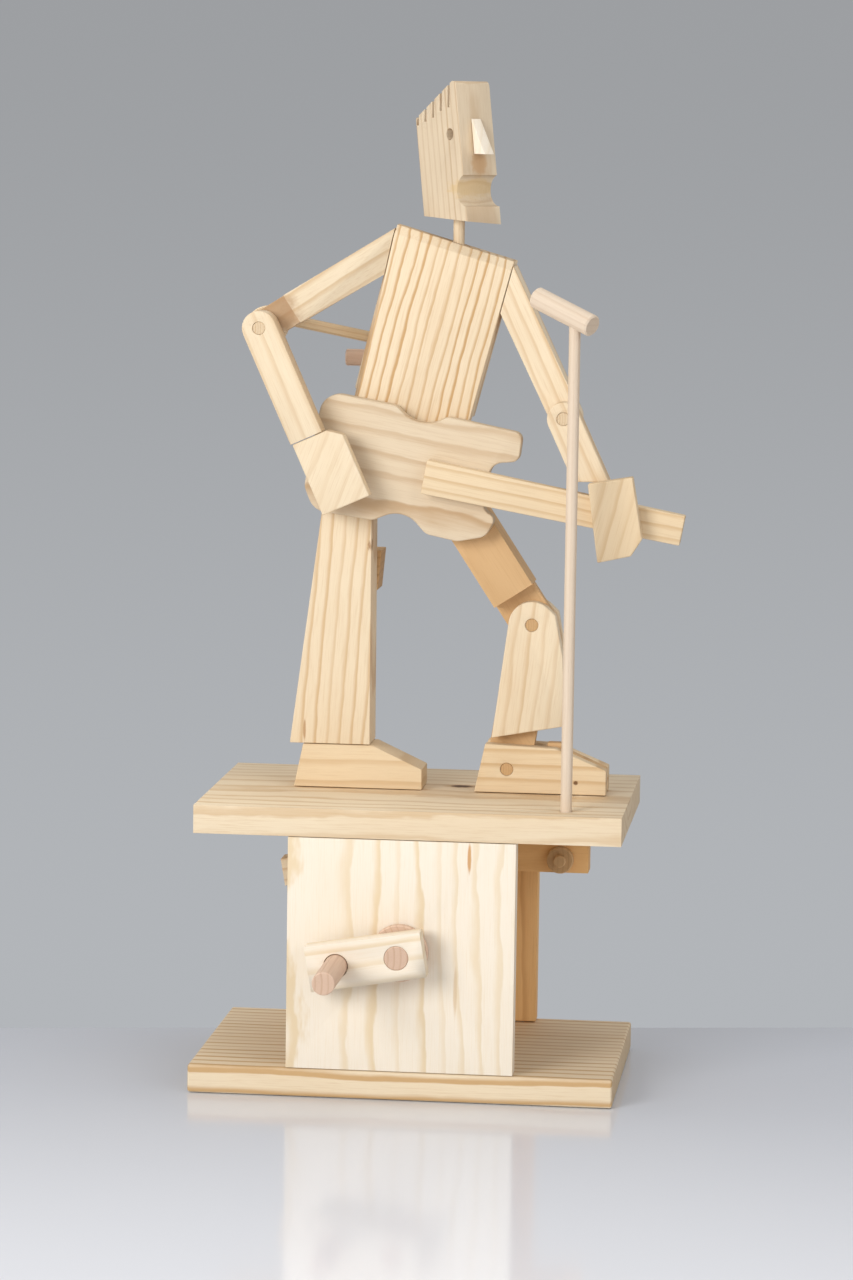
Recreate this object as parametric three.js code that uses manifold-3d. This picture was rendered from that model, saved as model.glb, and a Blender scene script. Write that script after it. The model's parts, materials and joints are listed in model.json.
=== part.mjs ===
// A hand-cranked wooden automaton: a block guitarist who sings into a microphone, on a two-deck stand.
// Millimetres, +Z up, front towards -Y. The origin is the middle of the base board's underside.
import * as THREE from "three";
import { mergeVertices } from "three/addons/utils/BufferGeometryUtils.js";
import { ConvexGeometry } from "three/addons/geometries/ConvexGeometry.js";
import Module from "manifold-3d";

const wasm = await Module();
wasm.setup();

// ---------------------------------------------------------------- driving dimensions

const GAP = 0.3; // air between two neighbouring pieces
const LOOSE = 0.5; // extra room round a dowel that slides or swings
const SIDES = 28; // sides of a dowel or a round hole
const ARC_STEP = Math.PI / 18; // longest step of a rounded corner

const boards = { width: 150, depth: 100, thick: 10 }; // base board and deck are cut alike
const deckShift = 1.5; // the deck sits this far to the right of the base
const panels = { width: 80, height: 82, thick: 8 };
const stock = 17; // thickness of the plank that torso, legs and feet are sawn from
const dowel = { thin: 2, medium: 3, thick: 4 }; // radii of the 4, 6 and 8 mm dowels

const crank = {
  drop: 39.6, // shaft axis below the deck's underside
  armLength: 41,
  armHeight: 16,
  armThick: 8,
  armEnd: 9.5, // from the shaft axis to the near end of the arm
  throwLength: 21.4, // from the shaft axis to the handle axis
  handleReach: 31, // handle in front of the arm
  tilt: -9.5, // degrees; the handle end hangs a little low
  spacer: { radius: 10, thick: 3.5 },
  tail: 1, // shaft past the back panel
};

const lever = { height: 10, thick: 10 };
const pivotCollar = { radius: 6, thick: 3 };
const blindDepth = 5; // holes that stop inside a panel
const footLever = {
  y: 5.5,
  pivotX: -30,
  drop: 13.6, // pivot below the deck's underside
  tail: 6, // beam past its pivot
  reach: 91.5, // pivot to the free end
  pinAt: 81.6, // pivot to the roller pin
  pinRadius: 2.2,
  roller: { radius: 4.75, thick: 3.7 },
  pinFront: 6.5, // pin in front of the beam
};
const strumLever = {
  y: 22,
  pivotX: 30,
  drop: 10.6,
  tail: 7,
  reach: 82.7,
  tilt: -10, // degrees; the free end hangs low
};
const cams = {
  thick: 8,
  foot: { radius: 19.2, lobe: 0.8 }, // two low lobes, so the foot taps twice a turn
  strum: { radius: 13.9, offset: 3.45 }, // an offset disc, so the arm strums once a turn
};
const collar = { radius: 8, thick: 4 };

// The figure is placed from the deck's top (z) and from the plank's front face (y).
const figureFront = -3;
const guitarThick = 7;
const neckThick = 6;
const handThick = 6.5;

const leftFoot = { heel: -44.9, ankle: -41.7, instep: -16.5, toe: 1.4, height: 15.8, toeHeight: 7.6 };
const leftLeg = { bottomLeft: -46.5, bottomRight: -17.6, topLeft: -31.3, topRight: -18, shoulder: 114.8, top: 135 };

const torso = {
  topLeft: [-10.4, 201.9],
  topRight: [31.4, 189.5],
  bottomRight: [10.2, 109.2],
  bottomLeft: [-28.2, 117.8],
  flareTop: 1, // the left side opens towards the back
  flareBottom: 4.6,
  bevel: 3,
  rebate: 26, // height of the rear rebate that takes the hips
};
const hipDowel = [-22, 126.4];
const hip = [3, 117];
const knee = [40, 60.8];
const ankle = [31.9, 8.7];
const thigh = { halfWidth: 8, hipCut: 12, kneeShoulder: 12.3 };
const shin = {
  topRadius: 8.4,
  coreHalf: 7.9,
  outline: [[48.4, 64.4], [51.1, 50.9], [52.2, 24.8], [26.3, 19.9]], // the plate below its round top
};
const rightFoot = { heel: 20.3, back: 24, instep: 49.3, toe: 67.5, height: 16.7, toeHeight: 9.2 };
const toeBlock = { left: 45.8, bump: 5.2, rise: 1.2 };
const layer = 5.6; // thickness of each outer plate of the right shin and foot

const rodX = -24;
const rodY = 22;
const rodGuide = { left: -31.5, right: -16.3, bottom: 69.9, top: 84.4, depth: 14, taper: 1.3 };
const teeBar = { left: -31, right: -5, height: 153.4 };
const footRodX = 56;

const elbow = [-56.3, 165.4]; // strumming arm
const upperArm = { halfWidth: 5.5, front: -20, back: -3, lap: 12.7, inset: 0.5 };
const elbowTongue = { front: -11.7, back: -4 };
const leftShoulder = { top: 200.6, bottom: 184.3 };
const forearm = { halfWidth: 6, front: -22, back: -12, length: 42, tilt: 24.2 };
const elbowDisc = { radius: 7, back: 4.3 };
const leftHand = { length: 27, left: -5.5, right: 12.6, cornerAcross: 4.9, cornerDown: 3.6 };
const strumDowel = { start: [-53.9, 0.2, 168.4], rest: [-14.3, 22, 159.3], over: 6, inHub: 2 };

const rightElbow = [51, 135.4];
const rightArm = { halfWidth: 5.5, back: 5 };
const rightShoulder = { top: 187.9, bottom: 171.4 };
const rightForearm = { halfWidth: 5.8, front: -16.6, back: -6.6, tilt: 25, bottom: 113.5 };
const rightHand = [[60.5, 113.3], [64.4, 85.8], [76.1, 88.4], [79.9, 94.4], [76.1, 116.1]];

const guitar = { x: -3, z: 116.4, tilt: 10.5 };
const guitarOutline = [
  // along, across, corner radius, in the guitar's own frame
  [-36, 20.5, 7], [-9.5, 20.6, 4], [0, 13.5, 12], [9, 20.4, 4], [36.2, 20, 3],
  [36.8, 10, 3], [27.4, 7.5, 5], [27.6, -9.4, 4], [32.9, -11, 2.5], [30.5, -18.5, 5], [21, -22.2, 6],
  [9.5, -21.9, 5], [0, -14.6, 10], [-10, -21, 5], [-31.5, -21.8, 7], [-36.4, -14, 6],
];
const guitarNeck = { left: 2.1, right: 93.5, leftZ: 114, rightZ: 97.1, halfLeft: 6, halfRight: 5.3 };

const neckAxis = [11, 5.5];
const neckBottom = 183;
const head = {
  bottom: 203.6,
  turn: 48, // degrees from the right towards the front
  ahead: 13.7, // face in front of the neck dowel, at the chin
  aside: 0.9, // block centre beside the neck dowel
  thick: 14.6,
  profile: [[0, 0], [-26, 0], [-32.12, 35.6, 1], [-8.6, 50.2, 2]], // from the chin back and up
  sole: { rise: 1.15, drop: 1.05 }, // sawn off aslant: it rises to the rear and drops to the far side
  lean: 0.172, // the face leans back this much per unit of height
  eye: { back: 6.1, height: 30.3, radius: 2.1 },
  mouth: { radius: 5.7, ahead: 1.15, height: 10.9 },
  kerf: { depths: [8.1, 6.5, 6.1, 4.7, 3.2], first: 12.5, pitch: 4.6, width: 1.2 },
  neckBore: 10,
};
const nose = { height: 12.4, bottom: 23.5, reach: 6.3, thick: 4.2 };

const micStand = { x: 56.3, y: -39, socket: 5.8, top: 172.6 };
const micHead = { left: [42.1, -29.3, 178.5], right: [62.9, -43.3, 170.2] };

// ---------------------------------------------------------------- heights worked out from them

const baseTop = boards.thick;
const panelBottom = baseTop + GAP;
const deckBottom = panelBottom + panels.height + GAP;
const deckTop = deckBottom + boards.thick;
const panelFace = boards.depth / 2; // the panels are flush with the boards' long edges
const panelInside = panelFace - panels.thick;
const figureBack = figureFront + stock;
const lapFront = figureFront + stock / 2 - GAP / 2;
const lapBack = figureFront + stock / 2 + GAP / 2;
const guitarBack = figureFront - GAP;
const guitarFront = guitarBack - guitarThick;
const neckBack = guitarFront - GAP;
const neckFront = neckBack - neckThick;
const rad = THREE.MathUtils.degToRad;

// ---------------------------------------------------------------- making solids

/** A closed geometry as a manifold solid. */
function solidOf(geometry) {
  const bare = geometry.index ? geometry.toNonIndexed() : geometry.clone();
  for (const name of Object.keys(bare.attributes)) {
    if (name !== "position") bare.deleteAttribute(name);
  }
  const merged = mergeVertices(bare, 1e-4);
  return new wasm.Manifold(
    new wasm.Mesh({
      numProp: 3,
      vertProperties: merged.attributes.position.array,
      triVerts: new Uint32Array(merged.index.array),
    }),
  );
}

/** A manifold solid as a flat-shaded geometry. */
function geometryOf(solid) {
  const mesh = solid.getMesh();
  const geometry = new THREE.BufferGeometry()
    .setAttribute("position", new THREE.BufferAttribute(Float32Array.from(mesh.vertProperties), 3))
    .setIndex(new THREE.BufferAttribute(Uint32Array.from(mesh.triVerts), 1))
    .toNonIndexed();
  geometry.computeVertexNormals();
  return geometry;
}

/** A box given by its lowest and highest corners. */
function block(low, high) {
  const size = high.map((value, axis) => value - low[axis]);
  const geometry = new THREE.BoxGeometry(...size);
  geometry.translate(...low.map((value, axis) => value + size[axis] / 2));
  return solidOf(geometry);
}

/** A round bar between two points. */
function bar(from, to, radius) {
  const start = new THREE.Vector3(...from);
  const along = new THREE.Vector3(...to).sub(start);
  const geometry = new THREE.CylinderGeometry(radius, radius, along.length(), SIDES);
  const turn = new THREE.Quaternion().setFromUnitVectors(new THREE.Vector3(0, 1, 0), along.clone().normalize());
  geometry.applyQuaternion(turn);
  geometry.translate(...start.addScaledVector(along, 0.5));
  return solidOf(geometry);
}

/** A bar that lies front to back at (x, z). */
function barY([x, z], radius, front, back) {
  return bar([x, front, z], [x, back, z], radius);
}

/** An outline in the x-z plane as a board between two y values. */
function board(shape, front, back) {
  const geometry = new THREE.ExtrudeGeometry(shape, { depth: back - front, bevelEnabled: false, curveSegments: 9 });
  geometry.rotateX(Math.PI / 2);
  geometry.translate(0, back, 0);
  return solidOf(geometry);
}

/** A closed outline through [x, z, radius] corners, each rounded by its own radius. */
function roundedOutline(corners) {
  const points = [];
  corners.forEach(([x, z, radius = 0], i) => {
    const corner = new THREE.Vector2(x, z);
    if (!radius) {
      points.push(corner);
      return;
    }
    const before = corners[(i + corners.length - 1) % corners.length];
    const after = corners[(i + 1) % corners.length];
    const back = new THREE.Vector2(before[0] - x, before[1] - z).normalize();
    const ahead = new THREE.Vector2(after[0] - x, after[1] - z).normalize();
    const half = Math.acos(THREE.MathUtils.clamp(back.dot(ahead), -1, 1)) / 2;
    const centre = corner.clone().addScaledVector(back.clone().add(ahead).normalize(), radius / Math.sin(half));
    const start = corner.clone().addScaledVector(back, radius / Math.tan(half)).sub(centre).angle();
    const end = corner.clone().addScaledVector(ahead, radius / Math.tan(half)).sub(centre).angle();
    const sweep = ((end - start + 3 * Math.PI) % (2 * Math.PI)) - Math.PI;
    const steps = Math.max(2, Math.ceil(Math.abs(sweep) / ARC_STEP));
    for (let k = 0; k <= steps; k += 1) {
      const angle = start + (sweep * k) / steps;
      points.push(new THREE.Vector2(centre.x + radius * Math.cos(angle), centre.y + radius * Math.sin(angle)));
    }
  });
  return new THREE.Shape(points);
}

/** A strip with a round end at [x, z], running along a direction for a length. */
function strip([x, z], direction, length, halfWidth) {
  const [dx, dz] = direction;
  const base = Math.atan2(dz, dx) + Math.PI / 2;
  const points = [];
  const steps = SIDES / 2;
  for (let k = 0; k <= steps; k += 1) {
    const angle = base + (Math.PI * k) / steps;
    points.push(new THREE.Vector2(x + halfWidth * Math.cos(angle), z + halfWidth * Math.sin(angle)));
  }
  const end = [x + dx * length, z + dz * length];
  points.push(new THREE.Vector2(end[0] + dz * halfWidth, end[1] - dx * halfWidth));
  points.push(new THREE.Vector2(end[0] - dz * halfWidth, end[1] + dx * halfWidth));
  return new THREE.Shape(points);
}

/** The convex solid round a set of points. */
function hull(points) {
  return solidOf(new ConvexGeometry(points.map((point) => new THREE.Vector3(...point))));
}

/** The unit vector from one [x, z] point to another. */
function towards(from, to) {
  const length = Math.hypot(to[0] - from[0], to[1] - from[1]);
  return [(to[0] - from[0]) / length, (to[1] - from[1]) / length];
}

/** The direction that is tilted this many degrees from straight down, to the right. */
function hanging(degrees) {
  return [Math.sin(rad(degrees)), -Math.cos(rad(degrees))];
}

// ---------------------------------------------------------------- woods

const woods = {
  pine: { color: 0xeed7a8, roughness: 0.62 },
  palePine: { color: 0xf1dfba, roughness: 0.62 },
  amberPine: { color: 0xd9a765, roughness: 0.6 },
  beech: { color: 0xd8b090, roughness: 0.5 },
};

/** A named mesh of one wood. */
function piece(name, solid, wood) {
  const material = new THREE.MeshStandardMaterial({ ...woods[wood], metalness: 0 });
  const mesh = new THREE.Mesh(geometryOf(solid), material);
  mesh.name = name;
  return mesh;
}

// ---------------------------------------------------------------- stand

const shaftZ = deckBottom - crank.drop;
const footPivotZ = deckBottom - footLever.drop;
const strumPivotZ = deckBottom - strumLever.drop;

function makeStand() {
  const stand = new THREE.Group();
  const half = [boards.width / 2, boards.depth / 2];
  stand.add(piece("base_board", block([-half[0], -half[1], 0], [half[0], half[1], baseTop]), "pine"));

  const low = [-panels.width / 2, -panelFace, panelBottom];
  const high = [panels.width / 2, -panelInside, panelBottom + panels.height];
  const shaftBore = barY([0, shaftZ], dowel.thick + GAP, -panelFace - 1, panelFace + 1);
  const footBlind = barY(
    [footLever.pivotX, footPivotZ], dowel.medium + GAP, -panelInside - blindDepth, -panelInside + 1,
  );
  const strumBlind = barY(
    [strumLever.pivotX, strumPivotZ], dowel.medium + GAP, panelInside - 1, panelInside + blindDepth,
  );
  const front = block(low, high).subtract(shaftBore).subtract(footBlind);
  const back = block([low[0], panelInside, low[2]], [high[0], panelFace, high[2]]).subtract(shaftBore);
  stand.add(piece("front_panel", front, "palePine"));
  stand.add(piece("back_panel", back.subtract(strumBlind), "pine"));

  const below = deckBottom - 1;
  const above = deckTop + 1;
  const deck = block(
    [deckShift - half[0], -half[1], deckBottom], [deckShift + half[0], half[1], deckTop],
  )
    .subtract(bar([rodX, rodY, below], [rodX, rodY, above], dowel.thin + LOOSE))
    .subtract(bar([footRodX, footLever.y, below], [footRodX, footLever.y, above], dowel.thin + LOOSE))
    .subtract(bar([micStand.x, micStand.y, deckTop - micStand.socket], [micStand.x, micStand.y, above], dowel.thin + GAP));
  stand.add(piece("top_deck", deck, "pine"));
  return stand;
}

// ---------------------------------------------------------------- crank, shaft and cams

/** A disc cam whose radius is a function of the angle, about the shaft axis. */
function camDisc(radiusAt, front, back) {
  const count = 2 * SIDES;
  const points = Array.from({ length: count }, (unused, k) => {
    const angle = (2 * Math.PI * k) / count;
    return new THREE.Vector2(radiusAt(angle) * Math.cos(angle), radiusAt(angle) * Math.sin(angle));
  });
  return board(new THREE.Shape(points), front, back).subtract(
    barY([0, 0], dowel.thick + GAP, front - 1, back + 1),
  );
}

/** A plain ring on a bar that lies front to back. */
function ring([x, z], radius, bore, front, back) {
  return barY([x, z], radius, front, back).subtract(barY([x, z], bore + GAP, front - 1, back + 1));
}

function makeCrank() {
  const group = new THREE.Group();
  group.position.z = shaftZ;
  const spacerBack = -panelFace - GAP;
  const spacerFront = spacerBack - crank.spacer.thick;
  const armBack = spacerFront - GAP;
  const armFront = armBack - crank.armThick;
  group.add(piece("crank_shaft", barY([0, 0], dowel.thick, armFront, panelFace + crank.tail), "beech"));
  group.add(piece("crank_spacer", ring([0, 0], crank.spacer.radius, dowel.thick, spacerFront, spacerBack), "beech"));

  const arm = block(
    [crank.armEnd - crank.armLength, armFront, -crank.armHeight / 2], [crank.armEnd, armBack, crank.armHeight / 2],
  )
    .subtract(barY([0, 0], dowel.thick + GAP, armFront - 1, armBack + 1))
    .subtract(barY([-crank.throwLength, 0], dowel.thick + GAP, armFront - 1, armBack + 1));
  const handle = barY([-crank.throwLength, 0], dowel.thick, armFront - crank.handleReach, armBack);
  const tilted = new THREE.Group();
  tilted.rotation.y = rad(crank.tilt);
  tilted.add(piece("crank_arm", arm, "palePine"), piece("crank_handle", handle, "beech"));
  group.add(tilted);

  const { foot, strum, thick } = cams;
  const footCam = camDisc(
    (angle) => foot.radius - foot.lobe * Math.cos(2 * angle), footLever.y - thick / 2, footLever.y + thick / 2,
  );
  const strumRadius = (angle) => {
    const side = strum.offset * Math.sin(angle);
    return -strum.offset * Math.cos(angle) + Math.sqrt(strum.radius ** 2 - side ** 2);
  };
  const strumCam = camDisc(strumRadius, strumLever.y - thick / 2, strumLever.y + thick / 2);
  group.add(piece("foot_cam", footCam, "pine"), piece("strum_cam", strumCam, "pine"));

  const inside = panelInside - GAP;
  group.add(piece("shaft_collar_front", ring([0, 0], collar.radius, dowel.thick, -inside, -inside + collar.thick), "beech"));
  group.add(piece("shaft_collar_rear", ring([0, 0], collar.radius, dowel.thick, inside - collar.thick, inside), "beech"));
  return group;
}

// ---------------------------------------------------------------- levers

/** The pivot dowel of a lever, with a collar on each side of the beam. */
function makePivot(name, [x, z], leverY, front, back) {
  const group = new THREE.Group();
  group.position.set(x, 0, z);
  group.add(piece(name + "_pivot", barY([0, 0], dowel.medium, front, back), "beech"));
  const beamFront = leverY - lever.thick / 2 - GAP;
  const beamBack = leverY + lever.thick / 2 + GAP;
  const { radius, thick } = pivotCollar;
  group.add(piece(name + "_pivot_collar_front", ring([0, 0], radius, dowel.medium, beamFront - thick, beamFront), "beech"));
  group.add(piece(name + "_pivot_collar_rear", ring([0, 0], radius, dowel.medium, beamBack, beamBack + thick), "beech"));
  return group;
}

/** A square beam on its pivot: it runs from x = left to x = right in the pivot's frame. */
function leverBeam(left, right) {
  const half = lever.height / 2;
  return block([left, -lever.thick / 2, -half], [right, lever.thick / 2, half]).subtract(
    barY([0, 0], dowel.medium + GAP, -lever.thick, lever.thick),
  );
}

function makeLevers() {
  const group = new THREE.Group();
  const stub = pivotCollar.thick + 2 * GAP + 0.5;

  const { pinAt, roller } = footLever;
  const footBeamBack = footLever.y + lever.thick / 2;
  group.add(makePivot(
    "foot_lever", [footLever.pivotX, footPivotZ], footLever.y, -panelInside - blindDepth + GAP, footBeamBack + stub,
  ));
  const foot = new THREE.Group();
  foot.position.set(footLever.pivotX, footLever.y, footPivotZ);
  const pinBore = barY([pinAt, 0], footLever.pinRadius + GAP, -lever.thick, lever.thick);
  foot.add(piece("foot_lever", leverBeam(-footLever.tail, footLever.reach).subtract(pinBore), "amberPine"));
  const side = lever.thick / 2 + GAP;
  const pinBack = side + roller.thick + GAP;
  foot.add(piece("foot_lever_pin", barY([pinAt, 0], footLever.pinRadius, -side + GAP - footLever.pinFront, pinBack), "beech"));
  foot.add(piece("foot_lever_roller_front", ring([pinAt, 0], roller.radius, footLever.pinRadius, -side - roller.thick, -side), "beech"));
  foot.add(piece("foot_lever_roller_rear", ring([pinAt, 0], roller.radius, footLever.pinRadius, side, side + roller.thick), "beech"));
  group.add(foot);

  const strumBeamFront = strumLever.y - lever.thick / 2;
  group.add(makePivot(
    "strum_lever", [strumLever.pivotX, strumPivotZ], strumLever.y, strumBeamFront - stub, panelInside + blindDepth - GAP,
  ));
  const strum = new THREE.Group();
  strum.position.set(strumLever.pivotX, strumLever.y, strumPivotZ);
  strum.rotation.y = rad(strumLever.tilt);
  strum.add(piece("strum_lever", leverBeam(-strumLever.reach, strumLever.tail), "amberPine"));
  group.add(strum);
  return group;
}

// ---------------------------------------------------------------- push rods

/** Height of the strum lever's top above the deck's top, at x. */
function strumLeverTop(x) {
  const slope = Math.tan(rad(-strumLever.tilt));
  const half = lever.height / 2 / Math.cos(rad(strumLever.tilt));
  return strumPivotZ + (x - strumLever.pivotX) * slope + half - deckTop;
}

function makeRods() {
  const group = new THREE.Group();
  const tee = teeBar.height;
  const rodBottom = strumLeverTop(rodX + dowel.thin) + GAP;
  const rodTop = tee + dowel.medium / 3;
  const socket = bar([rodX, rodY, tee - dowel.medium - 1], [rodX, rodY, rodTop + GAP], dowel.thin + GAP);
  group.add(piece("strum_rod", bar([rodX, rodY, rodBottom], [rodX, rodY, rodTop], dowel.thin), "pine"));
  const across = bar([teeBar.left, rodY, tee], [teeBar.right, rodY, tee], dowel.medium);
  group.add(piece("strum_tee_bar", across.subtract(socket), "beech"));

  const leverTop = footPivotZ + lever.height / 2 - deckTop;
  group.add(piece(
    "foot_rod", bar([footRodX, footLever.y, leverTop + LOOSE], [footRodX, footLever.y, -GAP], dowel.thin), "pine",
  ));

  const { left, right, bottom, top, taper } = rodGuide;
  const guideFront = figureBack + GAP;
  const guide = board(
    roundedOutline([[left, top], [left + taper, bottom], [right - taper, bottom], [right, top]]),
    guideFront, guideFront + rodGuide.depth,
  ).subtract(bar([rodX, rodY, bottom - 1], [rodX, rodY, top + 1], dowel.thin + LOOSE));
  group.add(piece("rod_guide", guide, "amberPine"));
  return group;
}

// ---------------------------------------------------------------- feet and legs

function makeLeftLeg() {
  const group = new THREE.Group();
  const foot = leftFoot;
  const footShape = roundedOutline([
    [foot.heel, GAP], [foot.toe, GAP], [foot.toe, foot.toeHeight], [foot.instep, foot.height], [foot.ankle, foot.height],
  ]);
  group.add(piece("left_foot", board(footShape, figureFront, figureBack), "pine"));

  const leg = leftLeg;
  const bottom = foot.height + GAP;
  const legShape = roundedOutline([
    [leg.bottomLeft, bottom], [leg.bottomRight, bottom], [leg.topRight, leg.top], [leg.topLeft, leg.top],
  ]);
  const tongueCut = block([leg.bottomLeft, figureFront - 1, leg.shoulder], [0, lapBack, leg.top + 1]);
  const legSolid = board(legShape, figureFront, figureBack)
    .subtract(tongueCut)
    .subtract(barY(hipDowel, dowel.thin + GAP, figureFront, figureBack + 1));
  group.add(piece("left_leg", legSolid, "pine"));
  group.add(piece("left_hip_dowel", barY(hipDowel, dowel.thin, figureFront + GAP, figureBack - GAP), "beech"));
  return group;
}

function makeThigh() {
  const along = towards(hip, knee);
  const length = Math.hypot(knee[0] - hip[0], knee[1] - hip[1]);
  const width = thigh.halfWidth;
  const shape = strip(hip, along, length, width);
  const kneeEnd = barY(knee, width, figureFront + layer + GAP, figureBack - layer - GAP);
  const beyond = [length - thigh.kneeShoulder, length + width];
  const kneeCut = (front, back) => {
    const [near, far] = beyond.map((step) => [hip[0] + along[0] * step, hip[1] + along[1] * step]);
    const reach = 2 * width;
    const corners = [[near, reach], [near, -reach], [far, -reach], [far, reach]];
    const points = corners.map(([[x, z], out]) => [x - along[1] * out, z + along[0] * out]);
    return board(roundedOutline(points), front, back);
  };
  return board(shape, figureFront, figureBack)
    .subtract(barY(hip, thigh.hipCut, figureFront - 1, lapBack))
    .subtract(kneeCut(figureFront - 1, figureFront + layer + GAP))
    .subtract(kneeCut(figureBack - layer - GAP, figureBack + 1))
    .add(kneeEnd)
    .subtract(barY(hip, dowel.thin + GAP, figureFront - 1, figureBack + 1))
    .subtract(barY(knee, dowel.thin + GAP, figureFront - 1, figureBack + 1));
}

function makeRightLeg() {
  const group = new THREE.Group();
  const plates = { front: [figureFront, figureFront + layer], rear: [figureBack - layer, figureBack] };
  const core = [figureFront + layer + GAP, figureBack - layer - GAP];
  const pin = (place) => barY(place, dowel.thin, figureFront + GAP, figureBack - GAP);
  const bore = (place, extra = GAP) => barY(place, dowel.thin + extra, figureFront - 1, figureBack + 1);
  group.add(piece("right_thigh", makeThigh(), "amberPine"));
  group.add(piece("right_hip_pin", pin(hip), "beech"));
  group.add(piece("knee_pin", pin(knee), "beech"));

  const kneeRing = Array.from({ length: SIDES }, (unused, k) => (2 * Math.PI * k) / SIDES).map((angle) => [
    knee[0] + shin.topRadius * Math.cos(angle), knee[1] + shin.topRadius * Math.sin(angle),
  ]);
  const shinPlate = ([front, back]) => hull(
    [...kneeRing, ...shin.outline].flatMap(([x, z]) => [front, back].map((y) => [x, y, z])),
  ).subtract(bore(knee));
  group.add(piece("shin_front_plate", shinPlate(plates.front), "palePine"));
  group.add(piece("shin_rear_plate", shinPlate(plates.rear), "pine"));

  const up = towards(ankle, knee);
  const coreLength = Math.hypot(knee[0] - ankle[0], knee[1] - ankle[1]);
  const shinCore = board(strip(ankle, up, coreLength, shin.coreHalf), ...core)
    .subtract(barY(knee, shin.topRadius + GAP, figureFront, figureBack))
    .subtract(bore(ankle, LOOSE + GAP));
  group.add(piece("shin_core", shinCore, "pine"));

  const foot = rightFoot;
  const footShape = roundedOutline([
    [foot.heel, GAP], [foot.toe, GAP], [foot.toe, foot.toeHeight], [foot.instep, foot.height], [foot.back, foot.height + 1],
  ]);
  group.add(piece("right_foot_front_plate", board(footShape, ...plates.front).subtract(bore(ankle)), "palePine"));
  group.add(piece("right_foot_rear_plate", board(footShape, ...plates.rear).subtract(bore(ankle)), "pine"));
  const { left, bump, rise } = toeBlock;
  const blockShape = roundedOutline([
    [left, GAP], [foot.toe - GAP, GAP], [foot.toe - GAP, foot.toeHeight], [left + bump, foot.height - 0.5],
    [left + bump, foot.height + rise], [left, foot.height + rise],
  ]);
  group.add(piece("right_toe_block", board(blockShape, ...core), "amberPine"));
  group.add(piece("ankle_pin", pin(ankle), "beech"));
  return group;
}

// ---------------------------------------------------------------- torso

/** x of the torso's left side at a height and a depth share (0 front, 1 back). */
function torsoLeft(z, share) {
  const [topX, topZ] = torso.topLeft;
  const [bottomX, bottomZ] = torso.bottomLeft;
  const down = (topZ - z) / (topZ - bottomZ);
  const flare = torso.flareTop + (torso.flareBottom - torso.flareTop) * down;
  return topX + (bottomX - topX) * down - flare * share;
}

/** x of the torso's right side at a height. */
function torsoRight(z) {
  const [topX, topZ] = torso.topRight;
  const [bottomX, bottomZ] = torso.bottomRight;
  return topX + ((bottomX - topX) * (topZ - z)) / (topZ - bottomZ);
}

/** The torso's block before it is bored. */
function makeTrunk() {
  const { topLeft, topRight, bottomLeft, bottomRight, bevel } = torso;
  return hull([
    [topLeft[0], figureFront + bevel, topLeft[1]], [topRight[0], figureFront + bevel, topRight[1]],
    [torsoLeft(topLeft[1] - bevel, 0), figureFront, topLeft[1] - bevel],
    [torsoRight(topRight[1] - bevel), figureFront, topRight[1] - bevel],
    [bottomLeft[0], figureFront, bottomLeft[1]], [bottomRight[0], figureFront, bottomRight[1]],
    [topLeft[0] - torso.flareTop, figureBack, topLeft[1]], [topRight[0], figureBack, topRight[1]],
    [bottomLeft[0] - torso.flareBottom, figureBack, bottomLeft[1]], [bottomRight[0], figureBack, bottomRight[1]],
  ]);
}

function makeTorso() {
  const group = new THREE.Group();
  const { topLeft, bottomLeft, bottomRight } = torso;
  const slope = (bottomLeft[1] - bottomRight[1]) / (bottomLeft[0] - bottomRight[0]);
  const far = 40;
  const edge = (x) => bottomRight[1] + torso.rebate + (x - bottomRight[0]) * slope;
  const rebate = board(roundedOutline([
    [-far - far, 0], [far, 0], [far, edge(far)], [-far - far, edge(-far - far)],
  ]), lapFront, figureBack + 1);
  const solid = makeTrunk()
    .subtract(rebate)
    .subtract(barY(hipDowel, dowel.thin + GAP, figureFront - 1, figureBack))
    .subtract(barY(hip, dowel.thin + GAP, figureFront - 1, figureBack))
    .subtract(bar([...neckAxis, neckBottom - GAP], [...neckAxis, topLeft[1] + 1], dowel.thin + GAP));
  group.add(piece("torso", solid, "pine"));
  group.add(piece("neck_dowel", bar([...neckAxis, neckBottom], [...neckAxis, head.bottom + head.neckBore - GAP], dowel.thin), "pine"));
  return group;
}

// ---------------------------------------------------------------- strumming arm

/** The four corners of a beam's square section at [x, z], across a direction. */
function sectionAt([x, z], [dx, dz], halfWidth, front, back) {
  return [-1, 1].flatMap((hand) => [front, back].map((y) => [x - dz * halfWidth * hand, y, z + dx * halfWidth * hand]));
}

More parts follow.
